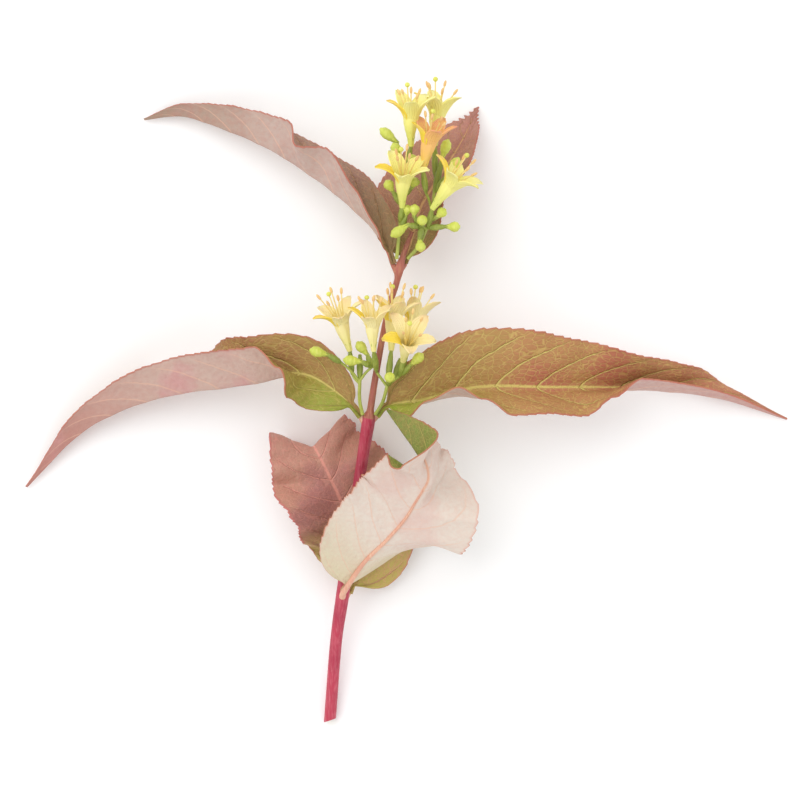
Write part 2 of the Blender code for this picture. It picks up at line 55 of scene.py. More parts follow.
# %% Measures of the stem
STEM_PATH = [
    (-21.3, -98, 1.85), (-19.2, -72, 6.6), (-17.4, -59.4, 9.4), (-11.4, -18.6, 17.6),
    (-9.3, -5.4, 20), (-8.9, -3, 20.4), (-7.5, 6, 21.3), (-3.6, 26.7, 23.2),
    (-0.8, 36, 24), (-0.3, 39, 24.2), (1.2, 44, 24.6), (3.6, 50.4, 25.2),
]
STEM_RADII = [1.75, 1.75, 1.95, 1.7, 1.95, 1, 0.95, 0.85, 0.9, 1.35, 0.75, 0.55]
STEM_POINTS = 240
CUT_MIDDLE = (-21.1, -96.9, 2)
CUT_SLANT = math.radians(19)
print("stem:", len(STEM_PATH), "points, radius", min(STEM_RADII), "to", max(STEM_RADII), "mm")

# %% [markdown]
# A leaf is a long pointed oval, and on the real sprig one half often folds up over the other, so
# that its pale underside shows. Each leaf is a midrib in space with a fold for each half, as (place
# from 0 at the stalk to 1 at the tip, degrees off flat). That is easier to adjust than a mesh
# pushed by hand, and it gives the solids and the fine leaf the same shape.

# %% Measures of the leaves
STALK_SHARE = 0.04
STALK_HALF_WIDTH = 1.25
KEEL_SHARE = 0.16  # share of the half width over which a fold is rounded
ROW_LEAN = math.radians(18)  # rows of a leaf's grid lean toward its tip by this
UP = np.array([0.0, 0.0, 1.0])
LEAVES = {
    "leaf_low_front": dict(
        midrib=[
            (-17, -57.6, 13), (-10.8, -48.6, 20.8), (-3.6, -41.4, 26.4), (1.8, -35.1, 30),
            (4.5, -30.6, 33.5), (6.9, -26.7, 36.3), (8.4, -23.4, 38), (7.5, -18.3, 38.5),
            (3.6, -12.6, 36.5), (-0.9, -6.9, 33), (-3.9, -3, 30),
        ],
        up=(0, 0.4, -1),
        half_widths=(21, 20),
        powers=(0.5, 1.08),
        left=[(0, 60), (0.13, 52), (0.26, 38), (0.4, 0), (0.47, 0), (0.55, 68), (0.64, 80),
              (0.78, 60), (1, 40)],
        right=[(0, -15), (0.3, -8), (0.62, -5), (0.68, -60), (0.74, -145), (1, -155)],
    ),
    "leaf_low_back": dict(
        midrib=[
            (-15.6, -58.2, 6.7), (-13.6, -53, 6.4), (-12.9, -47, 7.1), (-14.4, -39, 8.6),
            (-17.7, -30.6, 10.9), (-21, -23.4, 12.8), (-24.3, -16.8, 13.2), (-25.9, -14, 11.4),
            (-24.8, -15.6, 8), (-20, -23, 5.6), (-13, -33, 4.2),
        ],
        half_widths=(19.5, 19.5),
        powers=(0.4, 1.1),
        left=[(0, 10), (0.12, 30), (0.22, 40), (0.32, 48), (0.4, 42), (0.5, 12), (0.6, 25),
              (0.68, 60), (0.75, 0), (1, 0)],
        right=[(0, -8), (0.3, -10), (0.45, -22), (0.55, -42), (0.63, -15), (0.68, 20),
               (0.75, 0), (1, 0)],
    ),
    "leaf_mid_left": dict(
        midrib=[
            (-11.7, -4.8, 20.4), (-14.2, -1.8, 21.2), (-19, 2.4, 21.3), (-27, 7.3, 20.4),
            (-33, 8, 19.8), (-41.4, 6.3, 18.6), (-51, 4.8, 16.6), (-66, 2.8, 13), (-81, -1.4, 9),
            (-96, -9.3, 5.2), (-113, -26.3, 1.4),
        ],
        half_widths=(15.5, 13.6),
        powers=(0.6, 1.3),
        left=[(0, 15), (0.1, 18), (0.15, 45), (0.2, 100), (0.25, 142), (1, 146)],
        right=[(0, 20), (0.2, 24), (0.3, 6), (0.42, -42), (1, -48)],
    ),
    "leaf_mid_right": dict(
        midrib=[
            (-6.9, -4.7, 20.4), (-4.2, -1.9, 21.1), (7, 0.2, 20.8), (23.4, 3.9, 18.6),
            (45, 3.9, 14.8), (60, 3.9, 12), (78, 3.4, 8.4), (97, 0.7, 5), (117, -5.8, 1.6),
        ],
        half_widths=(17.8, 16),
        powers=(0.38, 1.2),
        left=[(0, 10), (0.3, 15), (0.45, 28), (0.6, 40), (0.7, 30), (0.84, -45), (1, -50)],
        right=[(0, 30), (0.05, 60), (0.1, 98), (0.15, 106), (0.2, 84), (0.27, 62), (0.36, 66),
               (0.46, 58), (0.52, 84), (0.6, 114), (1, 118)],
    ),
    "leaf_top_left": dict(
        midrib=[
            (-2.1, 40.6, 24.4), (-3.6, 45, 23.8), (-6.4, 50, 22.5), (-14.4, 58.5, 19.2),
            (-27, 68.6, 14.8), (-40.5, 76.8, 10.6), (-53.4, 82.2, 7.2), (-66, 86, 4),
            (-77.4, 84.9, 1.4),
        ],
        half_widths=(13, 10),
        powers=(0.6, 1.15),
        left=[(0, 60), (0.1, 95), (0.2, 112), (0.34, 132), (0.42, 106), (0.5, 144), (1, 150)],
        right=[(0, 10), (0.2, 0), (0.36, -30), (1, -38)],
    ),
    "leaf_top_right": dict(
        midrib=[
            (1.4, 40.8, 22.2), (3.3, 47, 18.6), (6.3, 57.9, 14), (11.1, 66, 11.2), (15, 72, 9.2),
            (18.9, 78.6, 6.4), (21.6, 84, 3.2), (23.6, 88.6, 0.8),
        ],
        half_widths=(16.5, 13),
        powers=(0.5, 1.1),
        left=[(0, -10), (0.25, -30), (1, -20)],
        right=[(0, 40), (0.3, 68), (0.6, 58), (1, 62)],
        ragged=0.5,  # depth of the notches near its torn tip, as a share of its width
    ),
}
print(len(LEAVES), "leaves measured")

# %% [markdown]
# The flowers stand in cymes: a stalk that branches, with an ovary at the end of each branch that
# carries a bud or a flower. They could be scattered, but each is placed one by one from the
# photograph, because one looks at the clusters first. A stalk is (path, radius at its foot, radius
# at its end), an ovary (foot, top) and a bud (ovary foot, neck, tip).

# %% Measures of the cymes
STALKS = {
    "cyme_mid_left": [
        ([(-11.2, -4.4, 22.4), (-12.1, 0, 23.8), (-12, 6.3, 25.4)], 0.55, 0.5),
        ([(-12.1, 5.6, 25.2), (-15, 9, 27.4), (-17.9, 11.4, 28.8)], 0.42, 0.38),
        ([(-12.2, 5, 25.1), (-13.6, 6.6, 25.5), (-14.4, 8.2, 25.7)], 0.42, 0.42),
        ([(-12, 5.8, 25.3), (-10.2, 8.2, 26.2), (-8.2, 10, 27.2)], 0.42, 0.38),
    ],
    "cyme_mid_right": [
        ([(-7.4, -4.4, 22.4), (-5.2, -0.6, 24), (-3.8, 4.4, 26)], 0.55, 0.5),
        ([(-3.9, 4, 25.8), (-5.6, 6.4, 26.6), (-7.2, 8.6, 27.3)], 0.42, 0.42),
        ([(-3.9, 4, 25.8), (-2.2, 5.6, 26.4), (0.2, 7.4, 26.8)], 0.42, 0.42),
    ],
    "cyme_top_left": [
        ([(-1, 42.2, 26.1), (-0.4, 48, 27.2), (0.2, 53.6, 27.6)], 0.55, 0.5),
        ([(0, 52.6, 27.4), (0.7, 60, 25.8), (1.5, 68, 25.6)], 0.48, 0.45),
        ([(0.9, 62, 25.8), (-0.2, 66.5, 26.4), (-0.5, 69, 26.8)], 0.4, 0.38),
    ],
    "cyme_top_right": [
        ([(2.3, 42.2, 26.2), (5.5, 46, 27.2), (8.2, 51.8, 28.2)], 0.55, 0.5),
        ([(8, 51, 28), (9.6, 57, 27), (10.6, 67, 24.4)], 0.48, 0.45),
        ([(9.4, 57, 27), (8.6, 60, 28), (7.6, 62.2, 29.2)], 0.42, 0.4),
        ([(7.8, 51, 28), (6.4, 51.8, 29.2), (5.2, 51.6, 30)], 0.42, 0.4),
    ],
}
BARE_OVARIES = {  # these have lost their flower
    "cyme_mid_left": [((-12, 6, 25.3), (-12, 13.6, 24))],
    "cyme_mid_right": [((-1.8, 6, 26.4), (0.1, 12.4, 24.6))],
}
BUDS = {
    "cyme_mid_left": [
        ((-17.5, 11.1, 28.6), (-21.6, 13.5, 29.4), (-27, 15, 30)),
        ((-8.4, 9.7, 27), (-9.8, 13.6, 27), (-12.9, 17.4, 27.2)),
        ((-8.4, 10, 27), (-11.4, 11.4, 28.9), (-17, 12, 29.4)),
    ],
    "cyme_mid_right": [
        ((-3.4, 4.4, 26), (-3.2, 6.4, 29.2), (-3, 7, 33.4)),
        ((0, 7.3, 26.8), (3.3, 10.6, 28.4), (6.9, 13.8, 29.8)),
    ],
    "cyme_top_left": [
        ((1, 66.5, 25.6), (-0.9, 77.1, 25), (-6, 81.3, 24.8)),
        ((-0.4, 68.6, 26.6), (0, 72.6, 27.6), (-2.1, 76.8, 28.4)),
        ((1.4, 67, 25.7), (3.3, 70.6, 28), (3.8, 72.6, 31)),
    ],
    "cyme_top_right": [
        ((5.6, 51.7, 29.8), (2.4, 52.2, 31.2), (-2.7, 48.8, 31.8)),
        ((6.6, 51.6, 29), (6.6, 53.2, 31), (6.6, 53.8, 34.2)),
        ((8, 51.4, 28.2), (13.8, 51.8, 28.8), (18, 51.7, 28.8)),
        ((6.6, 51.9, 29.1), (5.8, 48, 30), (6.3, 44.2, 30.4)),
        ((10.3, 62, 25.6), (12.6, 72.4, 25.8), (14.4, 78, 26)),
    ],
}
SMALL_BUDS = {  # young buds, too small for the solids
    "cyme_top_left": [
        ((0.6, 58, 26.4), (-2.2, 62.4, 28.2), (-4.2, 65.6, 28.8)),
        ((0.8, 61, 26), (3.6, 63.6, 28), (5, 66.4, 28.6)),
        ((0, 50, 27.4), (1.8, 55.2, 28.8), (2.4, 58.2, 29.6)),
    ],
    "cyme_top_right": [
        ((9.4, 57, 27), (12.2, 61.6, 29.2), (14.6, 65.8, 30.2)),
        ((10.2, 62, 25.6), (14.6, 67.6, 28.2), (17.6, 72.4, 29.2)),
        ((7, 49.6, 27.8), (4.2, 55, 30.2), (4.4, 58.4, 30.8)),
        ((8.6, 54, 27.6), (11, 54.6, 30), (13.6, 57, 30.6)),
    ],
}
print(len(STALKS), "cymes with", sum(map(len, BUDS.values())), "buds")

# %% [markdown]
# Ten open flowers stand on those ovaries. One form, turned, scaled and opened differently each
# time, looks natural and needs one set of measures. A flower is (its cyme, its ovary's foot, the
# foot of its tube, the way it points, its turn in degrees, its size, its lobes' bend in degrees).

# %% Measures of the flowers
FLOWERS = {
    "flower_mid_1": ("cyme_mid_left", (-14.3, 7.6, 25.6), (-15, 14.7, 26.6),
        (-0.28, 0.92, 0.28), 20, 1.1, 78),
    "flower_mid_2": ("cyme_mid_right", (-7, 8.2, 27.1), (-7.8, 14.6, 34.4),
        (-0.05, 0.93, 0.36), 0, 1, 66),
    "flower_mid_3": ("cyme_mid_right", (-3.7, 5, 26.2), (-2.6, 14.9, 28.4),
        (0.06, 0.98, 0.16), 36, 1.12, 56),
    "flower_mid_4": ("cyme_mid_right", (-0.8, 6.4, 26.5), (2.4, 15, 23.6),
        (0.18, 0.97, -0.12), 10, 1.1, 72),
    "flower_mid_5": ("cyme_mid_right", (-0.2, 6.9, 26.7), (0.9, 11.6, 29.6),
        (0.16, 0.62, 0.77), 30, 1.1, 82),
    "flower_top_1": ("cyme_top_left", (1.6, 66.4, 25.6), (3.3, 75.9, 29.6),
        (0, 0.94, 0.34), 18, 1.12, 66),
    "flower_top_2": ("cyme_top_right", (10.6, 66, 24.6), (10.4, 76.2, 23.4),
        (0.08, 0.98, 0.1), 0, 1.15, 70),
    "flower_top_3": ("cyme_top_right", (7.8, 61.6, 29), (6.9, 68.4, 31.4),
        (0.2, 0.92, 0.32), 30, 1.1, 58),
    "flower_top_4": ("cyme_top_left", (0.1, 52.8, 27.5), (0.6, 57.6, 30.4),
        (0.05, 0.86, 0.5), 12, 1.15, 76),
    "flower_top_5": ("cyme_top_right", (8.2, 51.4, 28.2), (9.6, 57, 31),
        (0.58, 0.76, 0.3), 0, 1.15, 74),
}
TUBE_LENGTH = 7.4
LOBES = 5
LOBE_LENGTH = 7.2
STYLE_LENGTH = 9.0
STIGMA_RADIUS = 0.75
print(len(FLOWERS), "flowers of", LOBES, "lobes")

# %% [markdown]
# Real leaves carry veins, blotches and a coloured margin, too fine to model. They are procedural
# materials here, without pictures. In this small class each operator adds one Math node, so that a
# pattern reads like the formula behind it.

# %% Shader maths
class Field:
    """A socket of a material whose Python operators add Math nodes."""

    def __init__(self, tree, socket):
        self.tree = tree
        self.socket = socket

    def node(self, kind, settings=None, output=0, **values):
        """Any other node: its type, its settings and the values of its inputs."""
        made = self.tree.nodes.new(kind)
        for key, value in (settings or {}).items():
            setattr(made, key, value)
        for key, value in values.items():
            socket = made.inputs[int(key[1:])] if key[0] == "_" else made.inputs[key]
            plug(self.tree, value, socket)
        return Field(self.tree, made.outputs[output])

    def math(self, operation, *others):
        made = self.tree.nodes.new("ShaderNodeMath")
        made.operation = operation
        for socket, value in zip(made.inputs, (self, *others)):
            plug(self.tree, value, socket)
        return Field(self.tree, made.outputs[0])

    __add__ = partialmethod(math, "ADD")
    __sub__ = partialmethod(math, "SUBTRACT")
    __mul__ = partialmethod(math, "MULTIPLY")
    __pow__ = partialmethod(math, "POWER")
    __abs__ = partialmethod(math, "ABSOLUTE")

    def rise(self, low, high):
        """0 below low, 1 above high and smooth between."""
        settings = {"interpolation_type": "SMOOTHSTEP"}
        return self.node("ShaderNodeMapRange", settings, _0=self, _1=low, _2=high)

    def mix(self, first, second):
        """A colour between two, by this factor."""
        settings = {"data_type": "RGBA"}
        return self.node("ShaderNodeMix", settings, 2, _0=self, _6=first, _7=second)


def plug(tree, value, socket):
    """Link a field to an input, or set the input to a constant."""
    if isinstance(value, Field):
        tree.links.new(value.socket, socket)
    else:
        socket.default_value = value


def screen(*colour):
    """A colour as it looks on a screen, as the linear values that a shader takes."""
    return (*[channel ** 2.2 for channel in colour], 1.0)


def new_material(name):
    """A Principled material, its shader, and fields for its UV map and object coordinates."""
    material = bpy.data.materials.new(name)
    material.use_nodes = True
    tree = material.node_tree
    shader = tree.nodes["Principled BSDF"]
    uv_map = tree.nodes.new("ShaderNodeUVMap")
    uv_map.uv_map = "uv"
    place = tree.nodes.new("ShaderNodeTexCoord")
    return material, shader, Field(tree, uv_map.outputs[0]), Field(tree, place.outputs["Object"])


def split(vector):
    """The x and y of a vector field."""
    return [vector.node("ShaderNodeSeparateXYZ", None, axis, Vector=vector) for axis in (0, 1)]


def noise(place, scale, detail=3.0):
    """Soft noise from 0 to 1, with about scale features in a metre."""
    return place.node("ShaderNodeTexNoise", Vector=place, Scale=scale, Detail=detail)


def stretched(vector, *factors):
    """Coordinates multiplied by a factor on each axis."""
    settings = {"operation": "MULTIPLY"}
    return vector.node("ShaderNodeVectorMath", settings, _0=vector, _1=factors)


def dress(shader, colour, roughness, height, depth):
    """Give a shader its colour, roughness and relief, with the relief's depth in metres."""
    bump = height.node("ShaderNodeBump", Height=height, Distance=depth, Strength=1.0)
    for label, field in (("Base Color", colour), ("Roughness", roughness), ("Normal", bump)):
        plug(field.tree, field, shader.inputs[label])


print("shader helpers are ready")

# %% [markdown]
# The leaf's skin. Side veins leave the midrib at even steps and bend toward the tip, with a fine
# net between them. The blade goes from green at the stalk to bronze and red at the tip, with
# blotches and a red margin. The UV map runs across and along the blade, so a vein is a simple
# function of two numbers. The underside takes the same pattern in paler colours.

# %% The leaf material
SIDE_VEINS = 10
VEIN_LAG = 0.14  # how much later along the leaf a side vein reaches the margin
VEIN_BEND = 1.4  # above 1, a side vein curves toward the tip
NET_CELLS = (22.0, 60.0, 1.0)  # cells of the fine net across and along the blade
LEAF_RELIEF = 0.0005  # metres


def vein_pattern(uv, place):
    """The side veins, the midrib and the fine net of a blade, each from 0 to 1."""
    across, along = split(uv)
    out = abs(across * 2.0 - 1.0)
    phase = (along - (out ** VEIN_BEND) * VEIN_LAG) * SIDE_VEINS + noise(place, 160.0) * 0.12
    cell = abs(phase.math("FRACT") - 0.5) * 2.0
    side_vein = cell.rise(0.89, 0.99) * out.rise(1.02, 0.7)
    midrib = out.rise(0.045, 0.012)
    settings = {"feature": "DISTANCE_TO_EDGE"}
    edge = uv.node("ShaderNodeTexVoronoi", settings, Vector=stretched(uv, *NET_CELLS), Scale=1.0)
    return side_vein, midrib, edge.rise(0.09, 0.01)


def leaf_material(name, colours, net, green_side=None):
    """A leaf's skin. Where green_side names a half, only that half is green near the stalk."""
    near, middle, far, vein, patch, margin = [screen(*colour) for colour in colours]
    material, shader, uv, place = new_material(name)
    across, along = split(uv)
    out = abs(across * 2.0 - 1.0)
    side_vein, midrib, fine_net = vein_pattern(uv, place)
    past_base = along.rise(0.02, 0.34)
    if green_side:
        ends = (0.42, 0.56) if green_side == "left" else (0.58, 0.44)
        past_base = past_base.math("MAXIMUM", across.rise(*ends) * 0.85)
    colour = past_base.mix(near, middle)
    colour = along.rise(0.45, 0.95).mix(colour, far)
    blotch = noise(place, 55.0, 5.0).rise(0.5, 0.68) * along.rise(0.1, 0.35)
    colour = (blotch * 0.75).mix(colour, patch)
    mottle = noise(place, 700.0, 4.0).rise(0.3, 0.7)
    colour = (mottle * 0.2).mix(colour, margin)
    veins = (side_vein * (0.35 + net)).math("MAXIMUM", fine_net * net * 0.6)
    colour = veins.mix(colour, vein)
    colour = (midrib * 0.9).mix(colour, vein)
    colour = (out.rise(0.95, 1.0) * 0.8).mix(colour, margin)
    roughness = mottle * 0.16 - veins * 0.08 + 0.48
    height = mottle * 0.25 - side_vein * net - fine_net * net * 0.25
    dress(shader, colour, roughness, height, LEAF_RELIEF)
    shader.inputs["Specular IOR Level"].default_value = 0.3
    return material


print("leaf material:", SIDE_VEINS, "side veins on each half")

# %% [markdown]
# The lowest front leaf is green above and pale below, and the others are bronze and red in
# different places. One rule with a row of colours for each side is shorter than twelve materials,
# and easy to compare. A row is the colours near the stalk, at the middle and at the tip, then of
# veins, patches and margin.

# %% Leaf skins
UPPER_NET = 0.5  # how strongly the veins show
UNDER_NET = 0.12  # fainter on an underside

LIME = (0.83, 0.76, 0.44)
PINK = (0.88, 0.7, 0.6)
RED = (0.72, 0.42, 0.36)
SKINS = {
    "leaf_low_front": dict(
        upper=[(0.5, 0.56, 0.22), (0.5, 0.55, 0.24), (0.47, 0.53, 0.25), LIME,
               (0.6, 0.54, 0.3), RED],
        under=[(0.83, 0.79, 0.66), (0.86, 0.81, 0.76), (0.84, 0.76, 0.72), PINK,
               (0.84, 0.73, 0.69), (0.84, 0.66, 0.6)],
    ),
    "leaf_low_back": dict(
        upper=[(0.72, 0.68, 0.34), (0.75, 0.56, 0.48), (0.71, 0.51, 0.48), (0.88, 0.6, 0.54),
               (0.66, 0.44, 0.44), (0.78, 0.46, 0.44)],
        under=[(0.78, 0.7, 0.52), (0.8, 0.66, 0.6), (0.78, 0.62, 0.56), PINK,
               (0.74, 0.52, 0.5), RED],
    ),
    "leaf_mid_left": dict(
        upper=[(0.58, 0.64, 0.24), (0.66, 0.5, 0.32), (0.66, 0.44, 0.36), LIME,
               (0.64, 0.42, 0.34), RED],
        under=[(0.77, 0.69, 0.6), (0.77, 0.66, 0.61), (0.7, 0.49, 0.45), PINK,
               (0.78, 0.56, 0.56), (0.7, 0.44, 0.4)],
        green_side="left",
    ),
    "leaf_mid_right": dict(
        upper=[(0.6, 0.68, 0.24), (0.7, 0.52, 0.34), (0.72, 0.46, 0.36), LIME,
               (0.7, 0.42, 0.34), RED],
        under=[(0.77, 0.71, 0.62), (0.77, 0.67, 0.63), (0.76, 0.6, 0.57), PINK,
               (0.76, 0.55, 0.54), (0.72, 0.42, 0.4)],
        green_side="right",
        net=0.65,
    ),
    "leaf_top_left": dict(
        upper=[(0.58, 0.5, 0.34), (0.6, 0.48, 0.42), (0.58, 0.46, 0.4), (0.8, 0.62, 0.46),
               (0.58, 0.42, 0.38), RED],
        under=[(0.74, 0.66, 0.6), (0.75, 0.66, 0.62), (0.62, 0.53, 0.46), PINK,
               (0.66, 0.53, 0.49), RED],
    ),
    "leaf_top_right": dict(
        upper=[(0.58, 0.52, 0.28), (0.62, 0.45, 0.36), (0.74, 0.52, 0.48), (0.84, 0.66, 0.46),
               (0.62, 0.38, 0.36), RED],
        under=[(0.78, 0.68, 0.58), (0.78, 0.64, 0.6), (0.74, 0.58, 0.52), PINK,
               (0.74, 0.56, 0.52), RED],
    ),
}
upper_skins = {}
under_skins = {}
for name, skin in SKINS.items():
    net = skin.get("net", UPPER_NET)
    upper_skins[name] = leaf_material(name + "_upper", skin["upper"], net, skin.get("green_side"))
    under_skins[name] = leaf_material(name + "_under", skin["under"], UNDER_NET)
print(len(SKINS), "leaves with two skins each")

# %% [markdown]
# Everything round takes a streaked skin. The young stem is crimson with pale lengthwise streaks
# and small warts, and stalks, ovaries and buds are green. Noise drawn out along the sprig gives
# the streaks. One rule makes every skin from three colours, a roughness and a depth in metres.

# %% Streaked skins
STREAK_DRAW = 0.08  # below 1, the streaks are drawn out along the sprig
STREAKED = {
    "stem": ((0.71, 0.21, 0.3), (0.82, 0.42, 0.47), (0.58, 0.13, 0.24), 0.4, 0.0002),
    "upper_stem": ((0.68, 0.38, 0.33), (0.8, 0.58, 0.44), (0.56, 0.32, 0.28), 0.42, 0.0002),
    "cut": ((0.86, 0.8, 0.66), (0.92, 0.88, 0.78), (0.76, 0.62, 0.5), 0.6, 0.0002),
    "rib": ((0.86, 0.64, 0.54), (0.92, 0.78, 0.66), (0.8, 0.52, 0.44), 0.45, 0.0001),
    "stalk": ((0.64, 0.68, 0.3), (0.78, 0.8, 0.42), (0.48, 0.52, 0.22), 0.42, 0.0001),
    "ovary": ((0.54, 0.6, 0.24), (0.7, 0.72, 0.36), (0.42, 0.46, 0.2), 0.42, 0.0001),
    "bud": ((0.8, 0.84, 0.34), (0.9, 0.9, 0.5), (0.68, 0.72, 0.28), 0.4, 0.0001),
    "thread": ((0.95, 0.87, 0.55), (0.97, 0.92, 0.68), (0.88, 0.74, 0.42), 0.45, 0.0001),
    "anther": ((0.93, 0.77, 0.5), (0.96, 0.86, 0.6), (0.84, 0.62, 0.42), 0.6, 0.0001),
    "stigma": ((0.86, 0.86, 0.36), (0.92, 0.92, 0.5), (0.74, 0.74, 0.28), 0.4, 0.0001),
}


def streaked_material(name, colour, streak, dark, roughness, depth):
    """A skin with streaks that run along it, soft blotches, warts and fine grain."""
    material, shader, _, place = new_material(name)
    lines = noise(stretched(place, 1.0, STREAK_DRAW, 1.0), 1800.0, 4.0).rise(0.38, 0.68)
    blotch = noise(place, 90.0, 4.0).rise(0.4, 0.66)
    grain = noise(place, 2600.0, 3.0)
    wart = place.node("ShaderNodeTexVoronoi", Vector=place, Scale=420.0).rise(0.16, 0.08)
    mixed = (lines * 0.55).mix(screen(*colour), screen(*streak))
    mixed = (blotch * 0.45).mix(mixed, screen(*dark))
    mixed = (wart * 0.4).mix(mixed, screen(*streak))
    height = lines * 0.6 + grain * 0.3 + wart * 0.5
    dress(shader, mixed, grain * 0.2 + roughness, height, depth)
    return material


skins = {name: streaked_material(name + "_skin", *looks) for name, looks in STREAKED.items()}
print(len(skins), "streaked skins")

# %% [markdown]
# Petals: the upper flowers are lemon, the lower ones cream and an old one peach. One lobe of each,
# which guides insects, is gold. Three colours along the UV map and fine lines are enough at this
# size, where single cells or hairs wouldn't show.

# %% Petal skins
PETALS = {
    "cream": ((0.94, 0.9, 0.56), (0.98, 0.92, 0.66), (0.98, 0.86, 0.64)),
    "lemon": ((0.86, 0.88, 0.44), (0.96, 0.93, 0.54), (0.98, 0.95, 0.64)),
    "peach": ((0.96, 0.82, 0.42), (0.96, 0.74, 0.46), (0.94, 0.62, 0.5)),
    "gold": ((0.96, 0.88, 0.4), (0.98, 0.86, 0.26), (0.97, 0.84, 0.46)),
}
PETAL_RELIEF = 0.0002  # metres


def petal_material(name, foot, middle, tip):
    """A petal: three colours along it, with fine lengthwise lines."""
    material, shader, uv, place = new_material(name)
    across, along = split(uv)
    blotch = noise(place, 300.0, 3.0)
    lines = abs((across * 7.0 + blotch * 0.8).math("FRACT") - 0.5).rise(0.1, 0.4)
    colour = along.rise(0.0, 0.5).mix(screen(*foot), screen(*middle))
    colour = (along.rise(0.6, 1.0) * blotch.rise(0.3, 0.6)).mix(colour, screen(*tip))
    colour = (lines * 0.12).mix(colour, screen(*foot))
    dress(shader, colour, blotch * 0.2 + 0.42, lines * 0.5 + blotch * 0.5, PETAL_RELIEF)
    return material


petal_skins = {name: petal_material("petal_" + name, *looks) for name, looks in PETALS.items()}
print(len(petal_skins), "petal skins")

# %% [markdown]
# Stems and midribs bend smoothly, so each needs a curve through a few points. These helpers work
# as the source's do: a smooth path, values eased between stops, and a frame that follows a midrib
# without twisting. Blender's own curves wouldn't fall on the solids.

# %% Paths and frames
def in_place(points):
    """Points of the sprig, in millimetres, as metres in the finished frame."""
    return (np.asarray(points, float) + CENTRE) * MM


def shares(count):
    """A number of even steps from 0 to 1."""
    return np.linspace(0, 1, count)


def smooth_path(points, count):
    """Evenly spaced points along a smooth curve through the given ones."""
    points = np.array(points, float)
    knots = np.concatenate([[0], np.cumsum(np.linalg.norm(np.diff(points, axis=0), axis=1) ** 0.5)])
    slopes = np.gradient(points, knots, axis=0)
    at = np.linspace(0, knots[-1], 40 * len(points))
    index = np.clip(np.searchsorted(knots, at, side="right") - 1, 0, len(knots) - 2)
    span = (knots[index + 1] - knots[index])[:, None]
    u = (at - knots[index])[:, None] / span
    fine = (
        (1 + 2 * u) * (1 - u) ** 2 * points[index] + u * (1 - u) ** 2 * span * slopes[index]
        + u ** 2 * (3 - 2 * u) * points[index + 1] - u ** 2 * (1 - u) * span * slopes[index + 1]
    )
    run = np.concatenate([[0], np.cumsum(np.linalg.norm(np.diff(fine, axis=0), axis=1))])
    even = np.linspace(0, run[-1], count)
    return np.column_stack([np.interp(even, run, fine[:, axis]) for axis in range(3)])


def eased(stops, at):
    """Values between (place, value) stops, eased so that each stop is reached level."""
    places, values = np.array(stops, float).T
    index = np.clip(np.searchsorted(places, at, side="right") - 1, 0, len(places) - 2)
    u = np.clip((at - places[index]) / (places[index + 1] - places[index]), 0, 1)
    return values[index] + (values[index + 1] - values[index]) * u * u * (3 - 2 * u)


def evenly(values, share):
    """A list of values, evenly spread and eased, at shares from 0 to 1."""
    return eased(list(zip(shares(len(values)), values)), share)


def frames_along(points, up):
    """Unit tangent, upper-side normal and leftward direction at each point of a path."""
    tangents = np.gradient(points, axis=0)
    tangents /= np.linalg.norm(tangents, axis=1)[:, None]
    normals = np.empty_like(points)
    normal = np.array(up, float)
    for index, tangent in enumerate(tangents):
        normal = normal - normal.dot(tangent) * tangent
        normal /= np.linalg.norm(normal)
        normals[index] = normal
    return tangents, normals, np.cross(normals, tangents)


stem_path = smooth_path(STEM_PATH, STEM_POINTS)
stem_length = np.linalg.norm(np.diff(stem_path, axis=0), axis=1).sum()
print("the stem's path is", round(stem_length, 1), "mm long")

# %% [markdown]
# Leaf blades and petals are thin and curved. A sheet is a grid of points that a Solidify modifier
# gives a thickness, with one material on each side. The bare grid would look the same from above,
# but has no edge in other views.

# %% Sheets
def add_object(name, data):
    """A new object in the scene."""
    obj = bpy.data.objects.new(name, data)
    bpy.context.scene.collection.objects.link(obj)
    return obj


def grid_mesh(name, points, across, along):
    """A mesh of quads through rows of points, with a UV map from two arrays of 0 to 1."""
    rows, columns = points.shape[:2]
    first = (np.arange(rows - 1)[:, None] * columns + np.arange(columns - 1)[None, :]).ravel()
    faces = np.column_stack([first, first + 1, first + columns + 1, first + columns])
    mesh = bpy.data.meshes.new(name)
    mesh.from_pydata(points.reshape(-1, 3).tolist(), [], faces.tolist())
    uv = mesh.uv_layers.new(name="uv")
    flat = np.column_stack([across.ravel(), along.ravel()])[faces.ravel()]
    uv.data.foreach_set("uv", flat.ravel())
    return mesh


def evaluated_mesh(mesh, make_modifier):
    """The mesh that a modifier gives, as plain data."""
    holder = add_object("holder", mesh)
    make_modifier(holder)
    bpy.context.view_layer.update()
    made = bpy.data.meshes.new_from_object(
        holder.evaluated_get(bpy.context.evaluated_depsgraph_get())
    )
    bpy.data.objects.remove(holder, do_unlink=True)
    return made


def sheet(mesh, thickness, upper, under):
    """Give a grid a thickness in millimetres and a material on each side."""
    def modify(holder):
        solidify = holder.modifiers.new("thickness", "SOLIDIFY")
        solidify.thickness = thickness * MM
        solidify.offset = 0.0
        solidify.material_offset = 1
    mesh.materials.append(upper)
    mesh.materials.append(under)
    return evaluated_mesh(mesh, modify)


print("sheet helpers are ready")

# %% [markdown]
# Everything else is round and follows a path: the stem, stalks, ribs, ovaries, buds and threads.
# One tree of Geometry Nodes sweeps a circle along each, with a radius at each point. Separate
# cylinders would show their joints where a path bends.

